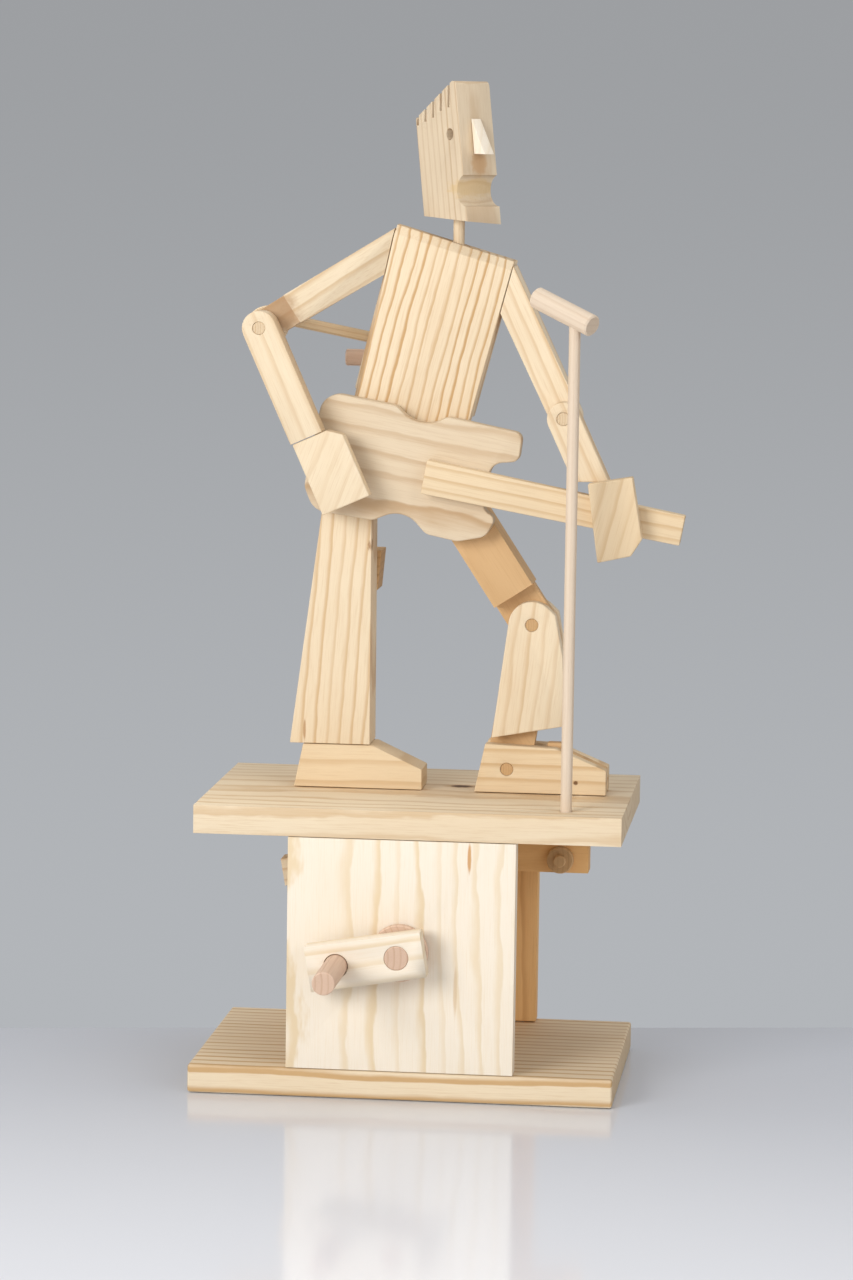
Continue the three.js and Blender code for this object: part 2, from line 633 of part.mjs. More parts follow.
function makeStrumArm() {
  const group = new THREE.Group();
  const { halfWidth, front, back, lap, inset } = upperArm;
  const far = 40;
  const shoulderY = [figureFront + inset, figureBack - inset];
  const shoulder = [leftShoulder.top, leftShoulder.bottom].flatMap((z) => shoulderY.map((y) => [
    torsoLeft(z, (y - figureFront) / stock) - GAP, y, z,
  ]));
  const shoulderMid = [torsoLeft(leftShoulder.bottom, 0), (leftShoulder.top + leftShoulder.bottom) / 2];
  const along = towards(elbow, shoulderMid);
  const across = (length, out) => [
    elbow[0] + along[0] * length - along[1] * out, elbow[1] + along[1] * length + along[0] * out,
  ];
  const endCut = roundedOutline([across(-far, -far), across(lap, -far), across(lap, far), across(-far, far)]);
  const upper = hull([...shoulder, ...sectionAt(elbow, along, halfWidth, front, back)])
    .subtract(makeTrunk().translate([-GAP, 0, 0]))
    .subtract(board(endCut, -far, far))
    .add(board(strip(elbow, along, lap + GAP, halfWidth), elbowTongue.front, elbowTongue.back))
    .subtract(barY(elbow, dowel.thin + GAP, -far, far));
  group.add(piece("left_upper_arm", upper, "palePine"));

  const down = hanging(forearm.tilt);
  const side = [-down[1], down[0]];
  const lower = board(strip(elbow, down, forearm.length, forearm.halfWidth), forearm.front, forearm.back)
    .subtract(barY(elbow, dowel.thin + GAP, -far, far));
  group.add(piece("left_forearm", lower, "palePine"));

  const start = new THREE.Vector3(...strumDowel.start);
  const rest = new THREE.Vector3(...strumDowel.rest);
  const run = rest.clone().sub(start).normalize();
  const inner = start.clone().addScaledVector(run, -strumDowel.inHub);
  const end = rest.clone().addScaledVector(run, strumDowel.over);
  const socket = bar(inner.clone().addScaledVector(run, -GAP).toArray(), end.toArray(), dowel.thin + GAP);
  const pinBack = elbowDisc.back - GAP;
  const pin = barY(elbow, dowel.thin, forearm.front + GAP, pinBack);
  const hub = ring(elbow, elbowDisc.radius, dowel.thin, elbowTongue.back + GAP, elbowDisc.back).subtract(socket);
  group.add(piece("left_elbow_pin", pin.subtract(socket), "beech"));
  group.add(piece("left_elbow_disc", hub, "beech"));
  group.add(piece("strum_arm_dowel", bar(inner.toArray(), end.toArray(), dowel.thin), "amberPine"));

  const hand = (length, out) => [
    elbow[0] + down[0] * (forearm.length + GAP + length) + side[0] * out,
    elbow[1] + down[1] * (forearm.length + GAP + length) + side[1] * out,
  ];
  const { length, left, right, cornerAcross, cornerDown } = leftHand;
  const handShape = roundedOutline([
    hand(0, left), hand(length, left), hand(length, right), hand(cornerDown, right), hand(0, right - cornerAcross),
  ]);
  group.add(piece("left_hand", board(handShape, forearm.front, forearm.front + handThick), "palePine"));
  return group;
}

// ---------------------------------------------------------------- arm on the guitar neck

function makeRightArm() {
  const group = new THREE.Group();
  const shoulderY = [figureFront + upperArm.inset, figureBack - upperArm.inset];
  const shoulder = [rightShoulder.top, rightShoulder.bottom].flatMap((z) => shoulderY.map((y) => [
    torsoRight(z) + GAP, y, z,
  ]));
  const shoulderMid = [torsoRight(rightShoulder.bottom), (rightShoulder.top + rightShoulder.bottom) / 2];
  const along = towards(rightElbow, shoulderMid);
  const { halfWidth, back } = rightArm;
  const { front, back: lapFace } = rightForearm;
  const far = 40;
  const upper = hull([
    ...shoulder, ...sectionAt(rightElbow, along, halfWidth, lapFace + GAP, back),
  ])
    .subtract(makeTrunk().translate([GAP, 0, 0]))
    .add(barY(rightElbow, halfWidth, lapFace + GAP, back))
    .subtract(barY(rightElbow, dowel.thin + GAP, -far, far));
  group.add(piece("right_upper_arm", upper, "pine"));

  const below = block([0, front - 1, 0], [rightElbow[0] + far, 0, rightForearm.bottom]);
  const down = hanging(rightForearm.tilt);
  const lower = board(strip(rightElbow, down, far, rightForearm.halfWidth), front, lapFace)
    .subtract(below)
    .subtract(barY(rightElbow, dowel.thin + GAP, -far, far));
  group.add(piece("right_forearm", lower, "pine"));
  group.add(piece("right_elbow_pin", barY(rightElbow, dowel.thin, front + GAP, back - GAP), "beech"));

  const handBack = neckFront - GAP;
  group.add(piece("right_hand", board(roundedOutline(rightHand), handBack - handThick, handBack), "pine"));
  return group;
}

// ---------------------------------------------------------------- guitar

function makeGuitar() {
  const group = new THREE.Group();
  const cos = Math.cos(rad(guitar.tilt));
  const sin = Math.sin(rad(guitar.tilt));
  const outline = guitarOutline.map(([u, w, radius]) => [
    guitar.x + u * cos + w * sin, guitar.z - u * sin + w * cos, radius,
  ]);
  group.add(piece("guitar_body", board(roundedOutline(outline), guitarFront, guitarBack), "palePine"));
  const { left, right, leftZ, rightZ, halfLeft, halfRight } = guitarNeck;
  const along = towards([left, leftZ], [right, rightZ]);
  const end = (x, z, half) => [x - along[1] * half, z + along[0] * half];
  const neckShape = roundedOutline([
    end(left, leftZ, halfLeft), end(left, leftZ, -halfLeft), end(right, rightZ, -halfRight), end(right, rightZ, halfRight),
  ]);
  group.add(piece("guitar_neck", board(neckShape, neckFront, neckBack), "pine"));
  return group;
}

// ---------------------------------------------------------------- head

function makeHead() {
  const group = new THREE.Group();
  group.position.set(...neckAxis, head.bottom);
  group.rotation.z = -rad(head.turn);
  const { profile, lean, sole, kerf, eye, mouth, thick, ahead, aside } = head;
  const front = aside - thick / 2;
  const back = aside + thick / 2;
  const faceAt = (height) => ahead - lean * height;
  const outline = profile.map(([x, z, radius = 0]) =>
    z > 0 ? [x + ahead, z, radius] : [x + ahead + lean * sole.drop, z - sole.drop, radius]);
  const slant = new THREE.Vector3(-sole.rise / profile[1][0], sole.drop / thick, 1).normalize();
  let solid = board(roundedOutline(outline), front, back)
    .trimByPlane(slant.toArray(), slant.dot(new THREE.Vector3(ahead, front, 0)))
    .subtract(barY([faceAt(eye.height) - eye.back, eye.height], eye.radius, front - 1, back + 1))
    .subtract(barY([faceAt(mouth.height) + mouth.ahead, mouth.height], mouth.radius, front - 1, back + 1))
    .subtract(bar([0, 0, -sole.drop - 1], [0, 0, head.neckBore], dowel.thin + GAP));
  const [low, high] = [profile[2], profile[3]];
  const rise = (high[1] - low[1]) / (high[0] - low[0]);
  kerf.depths.forEach((depth, k) => {
    const x = -kerf.first - k * kerf.pitch;
    const top = low[1] + (x - low[0]) * rise;
    const cut = block([x + ahead - kerf.width / 2, front - 1, top - depth], [x + ahead + kerf.width / 2, back + 1, top + 3]);
    solid = solid.subtract(cut);
  });
  group.add(piece("head", solid, "palePine"));

  const noseTop = nose.bottom + nose.height;
  const wedge = roundedOutline([
    [faceAt(noseTop) + GAP, noseTop],
    [faceAt(nose.bottom) + GAP, nose.bottom],
    [faceAt(nose.bottom) + GAP + nose.reach, nose.bottom],
  ]);
  group.add(piece("nose", board(wedge, aside - nose.thick / 2, aside + nose.thick / 2), "palePine"));
  return group;
}

// ---------------------------------------------------------------- microphone

function makeMicrophone() {
  const group = new THREE.Group();
  const stand = bar([micStand.x, micStand.y, GAP - micStand.socket], [micStand.x, micStand.y, micStand.top], dowel.thin);
  group.add(piece("mic_stand", stand, "beech"));
  const bore = bar([micStand.x, micStand.y, 0], [micStand.x, micStand.y, micStand.top + GAP], dowel.thin + GAP);
  group.add(piece("mic_head", bar(micHead.left, micHead.right, dowel.medium).subtract(bore), "beech"));
  return group;
}

// ---------------------------------------------------------------- assembly

const automaton = new THREE.Group();
const figure = new THREE.Group();
figure.position.z = deckTop;
figure.add(makeLeftLeg(), makeRightLeg(), makeTorso(), makeStrumArm(), makeRightArm(), makeGuitar(), makeHead());
figure.add(makeMicrophone(), makeRods());
automaton.add(makeStand(), makeCrank(), makeLevers(), figure);

export default automaton;
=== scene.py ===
"""Looks of a hand-cranked wooden automaton: a block guitarist at a microphone on a two-deck stand."""
import json
import logging
import math
from dataclasses import dataclass, field, replace
from enum import Enum

import bmesh
import bpy
from mathutils import Matrix, Vector

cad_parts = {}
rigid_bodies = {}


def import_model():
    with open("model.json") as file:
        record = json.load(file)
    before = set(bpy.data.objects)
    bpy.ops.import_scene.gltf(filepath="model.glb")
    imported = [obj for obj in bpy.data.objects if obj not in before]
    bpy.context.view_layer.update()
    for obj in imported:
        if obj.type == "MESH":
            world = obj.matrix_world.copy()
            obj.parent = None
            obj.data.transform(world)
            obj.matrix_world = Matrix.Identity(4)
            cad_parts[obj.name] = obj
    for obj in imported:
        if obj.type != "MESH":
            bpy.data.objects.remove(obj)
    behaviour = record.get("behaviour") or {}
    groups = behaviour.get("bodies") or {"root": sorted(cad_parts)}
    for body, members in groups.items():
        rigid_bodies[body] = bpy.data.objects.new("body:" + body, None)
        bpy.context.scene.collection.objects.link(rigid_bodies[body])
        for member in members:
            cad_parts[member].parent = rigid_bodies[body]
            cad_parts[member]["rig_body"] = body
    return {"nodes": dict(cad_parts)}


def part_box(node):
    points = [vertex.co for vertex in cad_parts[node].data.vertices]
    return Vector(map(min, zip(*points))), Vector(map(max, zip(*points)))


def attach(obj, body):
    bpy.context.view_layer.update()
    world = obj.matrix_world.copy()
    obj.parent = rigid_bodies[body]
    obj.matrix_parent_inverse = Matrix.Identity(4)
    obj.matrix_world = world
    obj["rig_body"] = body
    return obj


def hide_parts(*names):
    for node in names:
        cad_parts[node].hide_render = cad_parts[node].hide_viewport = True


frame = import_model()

LOG = logging.getLogger("automaton")
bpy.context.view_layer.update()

ACROSS = (1.0, 0.0, 0.0)
DEEP = (0.0, 1.0, 0.0)
UPRIGHT = (0.0, 0.0, 1.0)

WELD = 2e-6  # vertices of a sawn piece closer than this are one, in metres
FLAT_ANGLE = math.radians(0.8)  # faces that meet flatter than this are one
SANDED_ANGLE = math.radians(28)  # edges sharper than this are eased
SHARP_ANGLE = math.radians(30)  # edges of a turned piece that stay crisp
BAR_SIDES = 64
END_SHARE = 0.25  # how much of a bar counts as its end
FIT_ROUNDS = 12  # rounds in which the line of a slanting bar settles
PIN_SWELL = 0.0002  # how far a flush pin fills the clearance of its hole, in metres
SHAFT_SWELL = 0.00018

SLOW_FIGURE = (30.0, 30.0, 9.0)  # across and along the grain, per metre
FINE_FIGURE = (2600.0, 2600.0, 70.0)


def linear(red: int, green: int, blue: int) -> tuple[float, float, float, float]:
    """Turn a colour in display values of 0 to 255 into a linear one.

    Args:
        red: The red value.
        green: The green value.
        blue: The blue value.

    Returns:
        The linear colour with an alpha of one.
    """
    def one(value: int) -> float:
        """Return one channel's linear value."""
        share = value / 255
        return share / 12.92 if share <= 0.04045 else ((share + 0.055) / 1.055) ** 2.4

    return (one(red), one(green), one(blue), 1.0)


class Tone(Enum):
    """The woods, each as its early wood and late wood colours."""

    PALE = ((243, 231, 212), (230, 208, 172))
    PINE = ((234, 215, 184), (202, 165, 117))
    STRIPED = ((235, 215, 183), (200, 160, 110))
    DRY = ((222, 203, 174), (190, 158, 120))
    HONEY = ((229, 206, 170), (203, 168, 122))
    AMBER = ((216, 178, 130), (186, 142, 92))
    # This tone is warmer and more orange than the wood looks under plain light: partly the wood's own amber,
    # partly painted shade copied from the shaded back panel and foot lever.
    TAWNY_PART_SHADE = ((246, 196, 132), (216, 158, 96))
    BEECH = ((224, 205, 182), (202, 176, 148))
    ROSE = ((226, 196, 172), (200, 162, 134))


@dataclass(frozen=True)
class MarkOrShade:
    """A soft-edged patch of colour: a mark in the wood such as a resin streak, a split or a bud, or a patch
    of painted shade.

    Args:
        centre: Its middle, in metres.
        radii: Its half sizes along X, Y and Z, in metres.
        colour: Its colour in display values.
        strength: How far it covers the wood, from 0 to 1.
        ragged: How uneven its edge is.
    """

    centre: tuple[float, float, float]
    radii: tuple[float, float, float]
    colour: tuple[int, int, int]
    strength: float = 0.8
    ragged: float = 0.5


@dataclass(frozen=True)
class Cut:
    """How a piece was sawn from the tree.

    Args:
        tone: The wood.
        grain: The direction the fibres run in.
        pith: The direction from the piece to the heart of the tree.
        distance: How far away the heart is, in metres.
        ring: The width of one growth ring, in metres.
        wander: How far the rings stray, in metres.
        contrast: How much the late wood shows.
        onset: Where in a ring the late wood begins, from 0 to 1.
        seed: Sets this piece's own figure.
        marks_and_shade: Marks in the wood and patches of painted shade on the piece.
    """

    tone: Tone = Tone.PINE
    grain: tuple[float, float, float] = (0.0, 0.0, 1.0)
    pith: tuple[float, float, float] = (0.0, 1.0, 0.0)
    distance: float = 0.05
    ring: float = 0.0042
    wander: float = 0.006
    contrast: float = 1.0
    onset: float = 0.55
    seed: float = 0.0
    marks_and_shade: tuple[MarkOrShade, ...] = ()


@dataclass
class Wiring:
    """Adds nodes to a tree and joins them up.

    Args:
        tree: The node tree.
    """

    tree: bpy.types.NodeTree

    def node(self, kind: str, inputs: dict | None = None, **settings) -> bpy.types.Node:
        """Add a node.

        Args:
            kind: The node's type.
            inputs: Input name or number to a value or to an output socket.
            **settings: The node's own properties.

        Returns:
            The new node.
        """
        made = self.tree.nodes.new(kind)
        for name, value in settings.items():
            setattr(made, name, value)
        for key, value in (inputs or {}).items():
            if isinstance(value, bpy.types.NodeSocket):
                self.tree.links.new(value, made.inputs[key])
            else:
                made.inputs[key].default_value = value
        return made

    def math(self, operation: str, first, second=0.0, kind: str = "ShaderNodeMath") -> bpy.types.NodeSocket:
        """Add a maths node and return its result.

        Args:
            operation: The sum to do.
            first: A number or a socket.
            second: A number or a socket.
            kind: The node's type.

        Returns:
            The output socket.
        """
        return self.node(kind, {0: first, 1: second}, operation=operation).outputs[0]

    def ramp(self, value, low: float, high: float, start=0.0, end=1.0) -> bpy.types.NodeSocket:
        """Map a value smoothly from one range to another.

        Args:
            value: The socket to read.
            low: The value that gives start.
            high: The value that gives end.
            start: The result at low.
            end: The result at high.

        Returns:
            The output socket.
        """
        inputs = {"Value": value, "From Min": low, "From Max": high, "To Min": start, "To Max": end}
        return self.node("ShaderNodeMapRange", inputs, interpolation_type="SMOOTHSTEP").outputs[0]

    def blend(self, share, first, second, kind: str = "MIX") -> bpy.types.NodeSocket:
        """Mix two colours.

        Args:
            share: How much of the second shows.
            first: A colour or a socket.
            second: A colour or a socket.
            kind: How they mix.

        Returns:
            The output socket.
        """
        made = self.node("ShaderNodeMix", data_type="RGBA", blend_type=kind)
        for key, value in ((0, share), (6, first), (7, second)):
            if isinstance(value, bpy.types.NodeSocket):
                self.tree.links.new(value, made.inputs[key])
            else:
                made.inputs[key].default_value = value
        return made.outputs[2]


def new_group(name: str, kind: str, inputs: dict[str, str], outputs: dict[str, str]) -> bpy.types.NodeTree:
    """Make a node group with named sockets.

    Args:
        name: The group's name.
        kind: The type of tree.
        inputs: Input names and socket types.
        outputs: Output names and socket types.

    Returns:
        The empty group.
    """
    tree = bpy.data.node_groups.new(name, kind)
    for label, socket in inputs.items():
        tree.interface.new_socket(label, in_out="INPUT", socket_type=socket)
    for label, socket in outputs.items():
        tree.interface.new_socket(label, in_out="OUTPUT", socket_type=socket)
    return tree


class Workshop:
    """The shared node groups, and the ways pieces are finished."""

    def __init__(self) -> None:
        """Build the shared groups."""
        self.figure = self._figure_group()
        self.mark_or_shade = self._mark_or_shade_group()
        self.dowel = self._dowel_tree()

    def _figure_group(self) -> bpy.types.NodeTree:
        """Make the group that draws growth rings, fibres and end grain.

        Returns:
            The shader group.
        """
        number, vector = "NodeSocketFloat", "NodeSocketVector"
        tree = new_group(
            "wood_figure", "ShaderNodeTree",
            {"Vector": vector, "Facing": vector, "Ring": number, "Wander": number, "Onset": number,
             "Seed": number},
            {"Late": number, "Fibre": number, "End": number, "Cloud": number, "Height": number},
        )
        w = Wiring(tree)
        given = w.node("NodeGroupInput").outputs
        place = w.node("ShaderNodeSeparateXYZ", {0: given["Vector"]}).outputs
        slow = w.math("MULTIPLY", given["Vector"], SLOW_FIGURE, "ShaderNodeVectorMath")

        def drifting(scale: float, detail: float) -> bpy.types.NodeSocket:
            """Return a slow noise that this piece's seed sets."""
            inputs = {"Vector": slow, "W": given["Seed"], "Scale": scale, "Detail": detail}
            return w.node("ShaderNodeTexNoise", inputs, noise_dimensions="4D").outputs[0]

        def centred(value: bpy.types.NodeSocket) -> bpy.types.NodeSocket:
            """Return a noise with its middle at nought."""
            return w.math("SUBTRACT", value, 0.5)

        across = w.math("SQRT", w.math("ADD", w.math("POWER", place[0], 2.0), w.math("POWER", place[1], 2.0)))
        ripple = w.math("MULTIPLY", centred(drifting(5.5, 3.0)), 0.3)
        drift = w.math("ADD", centred(drifting(1.0, 2.0)), ripple)
        radius = w.math("ADD", across, w.math("MULTIPLY", drift, given["Wander"]))
        turns = w.math("DIVIDE", radius, given["Ring"])
        part = w.math("FRACT", turns)
        rise = w.ramp(part, given["Onset"], 0.88)
        fall = w.ramp(part, 0.9, 1.0, 1.0, 0.0)
        year = w.math("ADD", w.math("FLOOR", turns), given["Seed"])
        luck = w.node("ShaderNodeTexWhiteNoise", {"W": year}, noise_dimensions="1D").outputs[0]
        weight = w.math("ADD", 0.4, w.math("MULTIPLY", luck, 0.6))
        late = w.math("MULTIPLY", w.math("MULTIPLY", rise, fall), weight)
        fine = w.math("MULTIPLY", given["Vector"], FINE_FIGURE, "ShaderNodeVectorMath")
        fibre = w.node(
            "ShaderNodeTexNoise", {"Vector": fine, "Scale": 1.0, "Detail": 4.0, "Roughness": 0.7},
        ).outputs[0]
        cloud = drifting(2.1, 3.0)
        facing = w.math("ABSOLUTE", w.node("ShaderNodeSeparateXYZ", {0: given["Facing"]}).outputs[2])
        end = w.ramp(facing, 0.75, 0.97)
        height = w.math("ADD", w.math("MULTIPLY", fibre, 0.7), w.math("MULTIPLY", late, 0.5))
        shown = {"Late": late, "Fibre": fibre, "End": end, "Cloud": cloud, "Height": height}
        w.node("NodeGroupOutput", shown)
        return tree

    def _mark_or_shade_group(self) -> bpy.types.NodeTree:
        """Make the group that masks a ragged ellipsoid.

        Returns:
            The shader group.
        """
        number, vector = "NodeSocketFloat", "NodeSocketVector"
        tree = new_group(
            "wood_mark_or_shade", "ShaderNodeTree",
            {"Vector": vector, "Centre": vector, "Radii": vector, "Ragged": number}, {"Mask": number},
        )
        w = Wiring(tree)
        given = w.node("NodeGroupInput").outputs
        away = w.math("SUBTRACT", given["Vector"], given["Centre"], "ShaderNodeVectorMath")
        scaled = w.math("DIVIDE", away, given["Radii"], "ShaderNodeVectorMath")
        reach = w.node("ShaderNodeVectorMath", {0: scaled}, operation="LENGTH").outputs["Value"]
        torn = w.node("ShaderNodeTexNoise", {"Vector": scaled, "Scale": 2.4, "Detail": 4.0}).outputs[0]
        edge = w.math("ADD", reach, w.math("MULTIPLY", w.math("SUBTRACT", torn, 0.5), given["Ragged"]))
        w.node("NodeGroupOutput", {"Mask": w.ramp(edge, 0.55, 1.05, 1.0, 0.0)})
        return tree

    def _dowel_tree(self) -> bpy.types.NodeTree:
        """Make the geometry tree of a turned bar or disc with eased ends.

        Returns:
            The geometry tree.
        """
        number, vector = "NodeSocketFloat", "NodeSocketVector"
        tree = new_group(
            "turned_bar", "GeometryNodeTree",
            {"Length": number, "Radius": number, "Easing": number, "Centre": vector, "Turn": vector,
             "Wood": "NodeSocketMaterial"},
            {"Geometry": "NodeSocketGeometry"},
        )
        w = Wiring(tree)
        given = w.node("NodeGroupInput").outputs
        bar = w.node(
            "GeometryNodeMeshCylinder",
            {"Vertices": BAR_SIDES, "Side Segments": 3, "Radius": given["Radius"], "Depth": given["Length"]},
            fill_type="NGON",
        ).outputs["Mesh"]
        spot = w.node("ShaderNodeSeparateXYZ", {0: w.node("GeometryNodeInputPosition").outputs[0]}).outputs
        half = w.math("MULTIPLY", given["Length"], 0.5)
        rim = w.math("GREATER_THAN", w.math("ABSOLUTE", spot[2]), w.math("MULTIPLY", half, 0.6))
        inset = w.math("DIVIDE", given["Easing"], given["Radius"])
        shrink = w.math("SUBTRACT", 1.0, w.math("MULTIPLY", rim, inset))
        setback = w.math("MULTIPLY", given["Easing"], w.math("SUBTRACT", 1.0, rim))
        level = w.math("MULTIPLY", w.math("SIGN", spot[2]), w.math("SUBTRACT", half, setback))
        moved = w.node(
            "ShaderNodeCombineXYZ",
            {0: w.math("MULTIPLY", spot[0], shrink), 1: w.math("MULTIPLY", spot[1], shrink), 2: level},
        ).outputs[0]
        shaped = w.node("GeometryNodeSetPosition", {"Geometry": bar, "Position": moved}).outputs[0]
        placed = w.node(
            "GeometryNodeTransform",
            {"Geometry": shaped, "Translation": given["Centre"], "Rotation": given["Turn"]},
        ).outputs[0]
        real = w.node("GeometryNodeRealizeInstances", {"Geometry": placed}).outputs[0]
        dressed = w.node("GeometryNodeSetMaterial", {"Geometry": real, "Material": given["Wood"]}).outputs[0]
        w.node("NodeGroupOutput", {"Geometry": dressed})
        return tree

    def wood(self, name: str, cut: Cut, centre: Vector) -> bpy.types.Material:
        """Make one piece's wood.

        Args:
            name: The piece's name.
            cut: How it was sawn.
            centre: The piece's middle.

        Returns:
            The material.
        """
        material = bpy.data.materials.new(name + "_wood")
        material.use_nodes = True
        material.node_tree.nodes.clear()
        w = Wiring(material.node_tree)
        along = Vector(cut.grain).normalized()
        heart = Vector(cut.pith)
        heart = (heart - along * heart.dot(along)).normalized()
        turn = Matrix((heart, along.cross(heart), along))
        shift = Vector((cut.distance, 0.0, 0.013 * cut.seed)) - turn @ centre
        angles = tuple(turn.to_euler())
        coords = w.node("ShaderNodeTexCoord").outputs
        inside = w.node(
            "ShaderNodeMapping", {"Vector": coords["Object"], "Location": tuple(shift), "Rotation": angles},
        ).outputs[0]
        facing = w.node(
            "ShaderNodeMapping", {"Vector": coords["Normal"], "Rotation": angles}, vector_type="VECTOR",
        ).outputs[0]
        figure = w.node("ShaderNodeGroup", node_tree=self.figure)
        for key, value in (("Vector", inside), ("Facing", facing)):
            w.tree.links.new(value, figure.inputs[key])
        figure.inputs["Ring"].default_value = cut.ring
        figure.inputs["Wander"].default_value = cut.wander
        figure.inputs["Onset"].default_value = cut.onset
        figure.inputs["Seed"].default_value = cut.seed
        shown = figure.outputs
        early, late = (linear(*colour) for colour in cut.tone.value)
        bands = w.math("MULTIPLY", shown["Late"], cut.contrast)
        colour = w.blend(bands, early, late)
        patchy = w.ramp(shown["Cloud"], 0.35, 0.75, 0.0, 0.16)
        colour = w.blend(patchy, colour, late)
        threads = w.ramp(shown["Fibre"], 0.46, 0.72, 0.0, 0.3)
        colour = w.blend(threads, colour, late)
        end_wood = tuple(channel * 0.72 for channel in late[:3]) + (1.0,)
        colour = w.blend(w.math("MULTIPLY", shown["End"], 0.3), colour, end_wood)
        # The patches blended in here are marks in the wood and patches of painted shade.
        for mark in cut.marks_and_shade:
            spot = w.node("ShaderNodeGroup", node_tree=self.mark_or_shade)
            w.tree.links.new(coords["Object"], spot.inputs["Vector"])
            spot.inputs["Centre"].default_value = mark.centre
            spot.inputs["Radii"].default_value = mark.radii
            spot.inputs["Ragged"].default_value = mark.ragged
            colour = w.blend(w.math("MULTIPLY", spot.outputs[0], mark.strength), colour, linear(*mark.colour))
        bump = w.node("ShaderNodeBump", {"Height": shown["Height"], "Strength": 0.25, "Distance": 0.0002})
        rough = w.ramp(shown["Late"], 0.0, 1.0, 0.68, 0.54)
        shader = w.node(
            "ShaderNodeBsdfPrincipled", {"Base Color": colour, "Roughness": rough, "Normal": bump.outputs[0]},
        )
        shader.inputs["Specular IOR Level"].default_value = 0.28
        w.node("ShaderNodeOutputMaterial", {"Surface": shader.outputs[0]})
        return material

    @staticmethod
    def _settle(piece: bpy.types.Object, node: str) -> bpy.types.Object:
        """Turn a piece's modifiers into plain mesh and hang it on its body.

        Args:
            piece: The new object.
            node: The CAD node it stands for.

        Returns:
            The same object.
        """
        graph = bpy.context.evaluated_depsgraph_get()
        made = bpy.data.meshes.new_from_object(piece.evaluated_get(graph))
        piece.modifiers.clear()
        piece.data = made
        made.name = piece.name
        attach(piece, frame["nodes"][node]["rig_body"])
        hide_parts(node)
        LOG.info("%s: %d faces", piece.name, len(made.polygons))
        return piece

    def board(self, node: str, cut: Cut, easing: float = 0.0004) -> bpy.types.Object:
        """Finish a sawn piece: sanded edges and its own wood.

        Args:
            node: The CAD node.
            cut: How it was sawn.
            easing: How far the edges are rounded, in metres.

        Returns:
            The finished piece.
        """
        shape = bmesh.new()
        shape.from_mesh(frame["nodes"][node].data)
        bmesh.ops.remove_doubles(shape, verts=shape.verts, dist=WELD)
        bmesh.ops.dissolve_limit(shape, angle_limit=FLAT_ANGLE, verts=shape.verts, edges=shape.edges)
        mesh = bpy.data.meshes.new(node + "_sawn")
        shape.to_mesh(mesh)
        shape.free()
        mesh.materials.clear()
        low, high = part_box(node)
        mesh.materials.append(self.wood(node, cut, (low + high) / 2))
        for face in mesh.polygons:
            face.use_smooth = True
            face.material_index = 0
        piece = bpy.data.objects.new(node + "_sawn", mesh)
        bpy.context.scene.collection.objects.link(piece)
        bevel = piece.modifiers.new("sanding", "BEVEL")
        bevel.width = easing
        bevel.segments = 3
        bevel.limit_method = "ANGLE"
        bevel.angle_limit = SANDED_ANGLE
        bevel.harden_normals = True
        return self._settle(piece, node)

    @staticmethod
    def _slanting_line(points: list[Vector]) -> Vector:
        """Find the direction of a bar that runs aslant, from the middles of its two ends.

        Args:
            points: The bar's vertices.

        Returns:
            The direction, of length one.
        """
        first = max(points, key=lambda p: (p - points[0]).length)
        second = max(points, key=lambda p: (p - first).length)
        line = (second - first).normalized()
        for _ in range(FIT_ROUNDS):
            reach = [p.dot(line) for p in points]
            low, high = min(reach), max(reach)
            margin = END_SHARE * (high - low)
            head = [p for p, r in zip(points, reach) if r > high - margin]
            foot = [p for p, r in zip(points, reach) if r < low + margin]
            line = (sum(head, Vector()) / len(head) - sum(foot, Vector()) / len(foot)).normalized()
        return line

    def bar(
        self, node: str, cut: Cut, axis: tuple | None = DEEP, easing: float = 0.0004, swell: float = 0.0,
    ) -> bpy.types.Object:
        """Make a turned bar or disc in place of its CAD node.

        Args:
            node: The CAD node.
            cut: How it was sawn; its grain follows a bar that runs aslant.
            axis: The bar's direction, or None where it runs aslant.
            easing: The size of the eased rim, in metres.
            swell: How far the bar fills the clearance of its hole, in metres.

        Returns:
            The finished piece.
        """
        points = [vertex.co.copy() for vertex in frame["nodes"][node].data.vertices]
        if axis is None:
            line = self._slanting_line(points)
        else:
            line = Vector(axis).normalized()
        reach = [p.dot(line) for p in points]
        low, high = min(reach), max(reach)
        rim = [p for p, r in zip(points, reach) if r > high - END_SHARE * (high - low)]
        flat = [p - line * p.dot(line) for p in rim]
        if axis is None:
            middle = sum(flat, Vector()) / len(flat)
        else:
            box = [sum(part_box(node), Vector())[k] / 2 for k in range(3)]
            middle = Vector(box) - line * Vector(box).dot(line)
        radius = max((p - middle).length for p in flat) + swell
        centre = middle + line * (low + high) / 2
        if axis is None:
            cut = replace(cut, grain=tuple(line))
        wood = self.wood(node, cut, centre)
        piece = bpy.data.objects.new(node + "_turned", bpy.data.meshes.new(node + "_turned"))
        bpy.context.scene.collection.objects.link(piece)
        turned = piece.modifiers.new("turning", "NODES")
        turned.node_group = self.dowel
        values = {
            "Length": high - low, "Radius": radius, "Easing": easing, "Centre": tuple(centre),
            "Turn": tuple(Vector((0, 0, 1)).rotation_difference(line).to_euler()), "Wood": wood,
        }
        for item in self.dowel.interface.items_tree:
            if item.in_out == "INPUT":
                turned[item.identifier] = values[item.name]
        piece = self._settle(piece, node)
        for face in piece.data.polygons:
            face.use_smooth = True
        piece.data.set_sharp_from_angle(angle=SHARP_ANGLE)
        return piece


@dataclass
class Assembly:
    """A group of pieces that are made together.

    Args:
        shop: The workshop that makes them.
    """

    shop: Workshop

    def build(self) -> list[bpy.types.Object]:
        """Make the pieces.

        Returns:
            The finished pieces.
        """
        raise NotImplementedError


